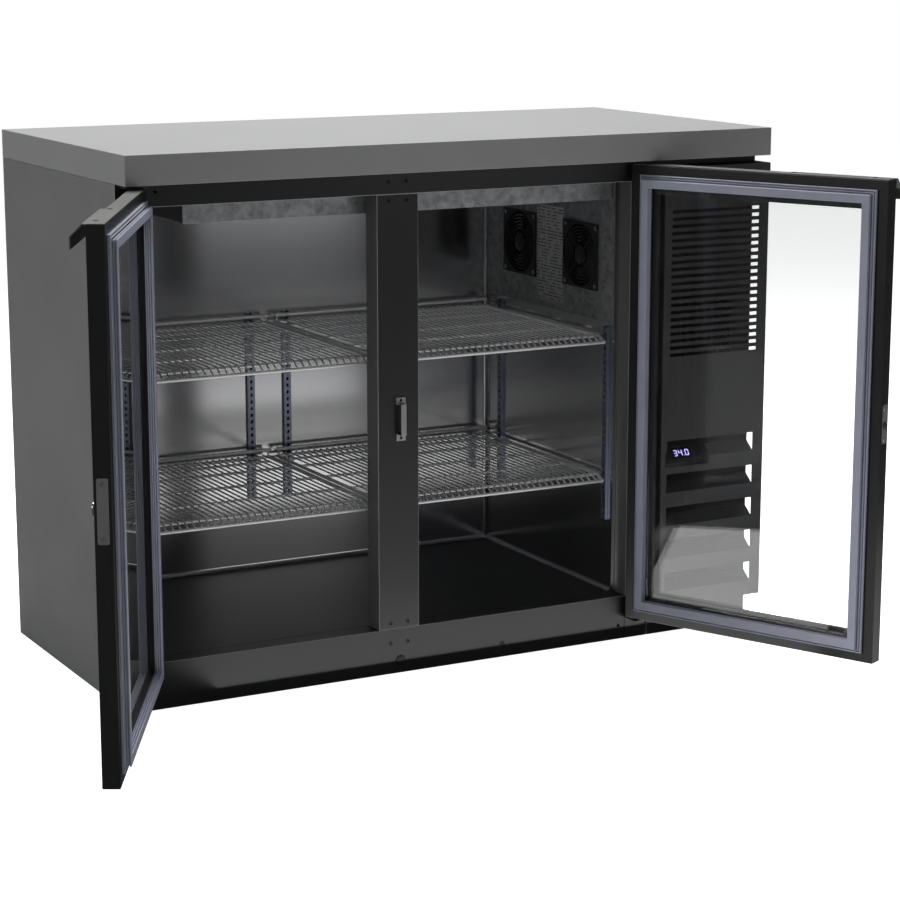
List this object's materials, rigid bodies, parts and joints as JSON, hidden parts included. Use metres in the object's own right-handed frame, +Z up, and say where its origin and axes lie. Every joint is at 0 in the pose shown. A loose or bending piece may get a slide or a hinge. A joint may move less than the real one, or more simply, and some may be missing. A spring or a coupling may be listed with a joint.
{
  "type": "under counter fridge",
  "caption": "Under-counter back bar fridge with hinged glass doors, wire shelves, a side machine bay with louvred grille and a flat worktop.",
  "frame": {"origin": "on the floor at the middle of the worktop's outline", "axes": "+Z up, the doors and grille face -Y, +X towards the machine bay"},
  "size_m": [1.4464, 1.0158, 0.917],
  "materials": {
    "worktop_satin": "satin pale grey top with fine grain",
    "dark_paint": "textured charcoal paint",
    "black_paint": "satin black paint",
    "stainless": "brushed liner sheet",
    "galvanised": "spangled galvanised sheet",
    "zinc_strip": "bright zinc plated strip",
    "foam": "rigid polyurethane foam",
    "shelf_wire": "plated steel wire",
    "keeper_metal": "bare bent steel",
    "black_plastic": "moulded black plastic",
    "fan_plastic": "moulded fan plastic",
    "blank_label": "blank printed film",
    "fin_aluminium": "thin aluminium fin",
    "display_window": "dark display window with violet digits",
    "button_rubber": "soft grey button",
    "copper_tube": "bare copper tube",
    "door_glass": "clear double glazing",
    "glass_spacer": "dark anodised spacer",
    "door_gasket": "blue-grey ribbed magnetic gasket",
    "handle_metal": "folded satin sheet",
    "lock_metal": "polished lock barrel",
    "grille_paint": "textured charcoal paint",
    "compressor_paint": "gloss black shell",
    "dark_screw": "black countersunk screw",
    "box_grey": "plain grey box"
  },
  "bodies": {
    "cabinet": {"worktop": "worktop_satin", "left_side_panel": "dark_paint", "right_side_panel": "dark_paint", "back_panel": "galvanised", "base_pan": "galvanised", "foam_insulation": "foam", "floor_liner": "stainless", "wall_liner": "stainless", "ceiling_liner": "stainless", "top_rail": "black_paint", "bottom_rail": "black_paint", "side_stiles": "black_paint", "center_mullion": "black_paint", "frame_screws": "dark_screw", "keeper_strap": "keeper_metal", "shelf_standards": "zinc_strip", "shelf_clips": "zinc_strip", "air_duct": "galvanised", "evaporator_cover": "galvanised", "evaporator_coil": "fin_aluminium", "drip_tray": "galvanised", "info_plate": "blank_label", "fan_frames": "fan_plastic", "fan_guards": "fan_plastic", "hinge_brackets": "black_paint", "machine_divider": "galvanised", "machine_base": "black_paint", "grille_panel": "grille_paint", "controller_case": "black_plastic", "display_window": "display_window", "compressor": "compressor_paint", "condenser_coil": "compressor_paint", "condenser_shroud": "black_plastic", "condenser_motor": "compressor_paint", "refrigerant_lines": "copper_tube", "junction_box": "box_grey", "power_inlet": "black_plastic"},
    "left_door": {"left_door_frame": "black_paint", "left_door_glass": "door_glass", "left_door_spacer": "glass_spacer", "left_door_gasket": "door_gasket", "left_door_handle": "handle_metal", "left_latch_plate": "keeper_metal"},
    "right_door": {"right_door_frame": "black_paint", "right_door_glass": "door_glass", "right_door_spacer": "glass_spacer", "right_door_gasket": "door_gasket", "right_door_handle": "handle_metal", "right_latch_plate": "keeper_metal"},
    "left_lock_barrel": {"left_lock": "lock_metal"},
    "right_lock_barrel": {"right_lock": "lock_metal"},
    "rear_fan": {"rear_fan_rotor": "fan_plastic"},
    "front_fan": {"front_fan_rotor": "fan_plastic"},
    "condenser_blower": {"condenser_fan": "fin_aluminium"},
    "upper_left_shelf": {"shelf_upper_left": "shelf_wire"},
    "upper_right_shelf": {"shelf_upper_right": "shelf_wire"},
    "lower_left_shelf": {"shelf_lower_left": "shelf_wire"},
    "lower_right_shelf": {"shelf_lower_right": "shelf_wire"},
    "left_key": {"left_button": "button_rubber"},
    "right_key": {"right_button": "button_rubber"}
  },
  "joints": [
    {"name": "left_door_hinge", "type": "hinge", "parent": "cabinet", "child": "left_door", "pos_m": [-0.5845, -0.2815, 0.45], "axis": [0, 0, 1], "range_deg": [-4, 117.8]},
    {"name": "right_door_hinge", "type": "hinge", "parent": "cabinet", "child": "right_door", "pos_m": [0.3615, -0.2815, 0.45], "axis": [0, 0, 1], "range_deg": [-115.2, 3.5]},
    {"name": "left_lock_turn", "type": "hinge", "parent": "left_door", "child": "left_lock_barrel", "pos_m": [-0.813, -0.672, 0.455], "axis": [-0.8846, 0.4664, 0], "range_deg": [0, 90]},
    {"name": "right_lock_turn", "type": "hinge", "parent": "right_door", "child": "right_lock_barrel", "pos_m": [0.57205, -0.68197, 0.455], "axis": [0.9048, 0.4258, 0], "range_deg": [-90, 0]},
    {"name": "rear_fan_spin", "type": "hinge", "parent": "cabinet", "child": "rear_fan", "pos_m": [0.3405, 0.1205, 0.684], "axis": [1, 0, 0], "continuous": true},
    {"name": "front_fan_spin", "type": "hinge", "parent": "cabinet", "child": "front_fan", "pos_m": [0.3405, -0.1005, 0.684], "axis": [1, 0, 0], "continuous": true},
    {"name": "condenser_fan_spin", "type": "hinge", "parent": "cabinet", "child": "condenser_blower", "pos_m": [0.4985, -0.1425, 0.5], "axis": [0, 1, 0], "continuous": true},
    {"name": "upper_left_shelf_lift", "type": "slide", "parent": "cabinet", "child": "upper_left_shelf", "axis": [0, 0, 1], "range_m": [0, 0.015]},
    {"name": "upper_right_shelf_lift", "type": "slide", "parent": "cabinet", "child": "upper_right_shelf", "axis": [0, 0, 1], "range_m": [0, 0.015]},
    {"name": "lower_left_shelf_lift", "type": "slide", "parent": "cabinet", "child": "lower_left_shelf", "axis": [0, 0, 1], "range_m": [0, 0.015]},
    {"name": "lower_right_shelf_lift", "type": "slide", "parent": "cabinet", "child": "lower_right_shelf", "axis": [0, 0, 1], "range_m": [0, 0.015]},
    {"name": "left_key_press", "type": "slide", "parent": "cabinet", "child": "left_key", "axis": [0, 0.6428, -0.766], "range_m": [0, 0.001], "stiffness_N_per_m": 400, "springref_m": -0.001},
    {"name": "right_key_press", "type": "slide", "parent": "cabinet", "child": "right_key", "axis": [0, 0.6428, -0.766], "range_m": [0, 0.001], "stiffness_N_per_m": 400, "springref_m": -0.001}
  ]
}
